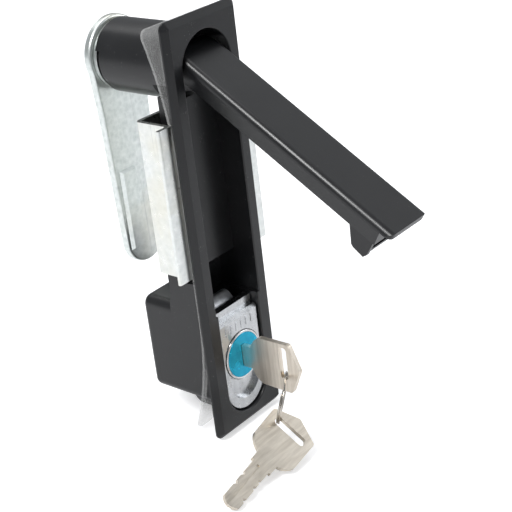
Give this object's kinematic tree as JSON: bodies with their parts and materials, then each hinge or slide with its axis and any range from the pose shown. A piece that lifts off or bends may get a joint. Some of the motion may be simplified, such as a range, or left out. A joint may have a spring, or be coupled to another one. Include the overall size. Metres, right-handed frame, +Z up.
{
  "type": "paddle latch",
  "caption": "Flush swing-handle paddle latch with barrel, drop cam, mounting bracket, push-button release and keys on a ring.",
  "frame": {"origin": "where the axis of the cam barrel crosses the panel face, which is the back of the flange", "axes": "+X to the right seen from the front, +Y back through the door along the barrel, +Z up along the plate"},
  "size_m": [0.0658, 0.1214, 0.1543],
  "materials": {
    "black_coat": "satin black powder coat",
    "clear_rubber": "translucent pale grey sheet",
    "zinc_plate": "bright zinc plate with pale yellow edges",
    "zinc_washer": "zinc plate",
    "zinc_screw": "zinc plate",
    "cover_coat": "satin black powder coat",
    "cover_screw": "zinc plate",
    "rotor_metal": "black coat, bare at the neck",
    "seal_rubber": "black rubber",
    "pin_steel": "ground steel",
    "spring_steel": "drawn spring wire",
    "stop_plate": "zinc plate",
    "cam_zinc": "zinc plate",
    "cam_washer": "zinc plate",
    "cam_screw": "zinc plate",
    "handle_coat": "satin black powder coat",
    "button_chrome": "polished chrome",
    "lock_chrome": "polished chrome",
    "clip_steel": "spring steel",
    "catch_metal": "plain cast zinc",
    "plug_metal": "brass",
    "cap_blue": "blue metallic",
    "tail_zinc": "zinc plate",
    "key_nickel": "brushed nickel",
    "ring_steel": "nickel-plated wire",
    "spare_nickel": "brushed nickel",
    "button_spring_steel": "drawn spring wire",
    "catch_spring_steel": "drawn spring wire"
  },
  "bodies": {
    "housing": {"escutcheon": "black_coat", "gasket": "clear_rubber", "mounting_bracket": "zinc_plate", "bracket_washers": "zinc_washer", "bracket_screws": "zinc_screw", "rear_cover": "cover_coat", "cover_screws": "cover_screw", "button_spring": "button_spring_steel", "catch_spring": "catch_spring_steel"},
    "rotor": {"rotor": "rotor_metal", "rotor_o_ring": "seal_rubber", "handle_pivot_pin": "pin_steel", "handle_spring": "spring_steel", "stop_disc": "stop_plate", "cam": "cam_zinc", "cam_washer": "cam_washer", "cam_screw": "cam_screw"},
    "handle": {"handle": "handle_coat"},
    "button": {"push_button": "button_chrome", "lock_cylinder": "lock_chrome", "cylinder_clip": "clip_steel"},
    "catch": {"catch_slide": "catch_metal"},
    "plug": {"lock_plug": "plug_metal", "plug_cap": "cap_blue", "lock_tail": "tail_zinc"},
    "key": {"key": "key_nickel"},
    "key_ring": {"key_ring": "ring_steel"},
    "spare_key": {"spare_key": "spare_nickel"}
  },
  "joints": [
    {"name": "rotor_turn", "type": "hinge", "parent": "housing", "child": "rotor", "pos_m": [0, 0.02, 0], "axis": [0, 1, 0], "range_deg": [0, 90]},
    {"name": "handle_swing", "type": "hinge", "parent": "rotor", "child": "handle", "pos_m": [0, 0.0045, 0], "axis": [-1, 0, 0], "range_deg": [-58.3, 0], "stiffness_Nm_per_rad": 0.05, "springref_deg": 40.11},
    {"name": "button_slide", "type": "slide", "parent": "housing", "child": "button", "axis": [0, 1, 0], "range_m": [-0.001, 0], "stiffness_N_per_m": 400, "springref_m": -0.001},
    {"name": "catch_lift", "type": "slide", "parent": "housing", "child": "catch", "axis": [0, 0, 1], "range_m": [0, 0.0022], "deforming": ["catch_spring"]},
    {"name": "plug_turn", "type": "hinge", "parent": "button", "child": "plug", "pos_m": [0, 0.01, -0.1057], "axis": [0, 1, 0], "range_deg": [0, 90]},
    {"name": "key_withdraw", "type": "slide", "parent": "plug", "child": "key", "axis": [0, -1, 0], "range_m": [0, 0.024]},
    {"name": "ring_swing", "type": "hinge", "parent": "key", "child": "key_ring", "pos_m": [0.00002, -0.02056, -0.10917], "axis": [-0.846, -0.5299, 0.0591], "range_deg": [-10, 10]},
    {"name": "spare_swing", "type": "hinge", "parent": "key_ring", "child": "spare_key", "pos_m": [-0.00701, -0.02026, -0.12435], "axis": [0.6003, 0.5403, -0.5897], "range_deg": [-10, 10]}
  ],
  "couplings": [
    {"joint": "catch_lift", "follows": "button_slide", "ratio": -2.2}
  ]
}
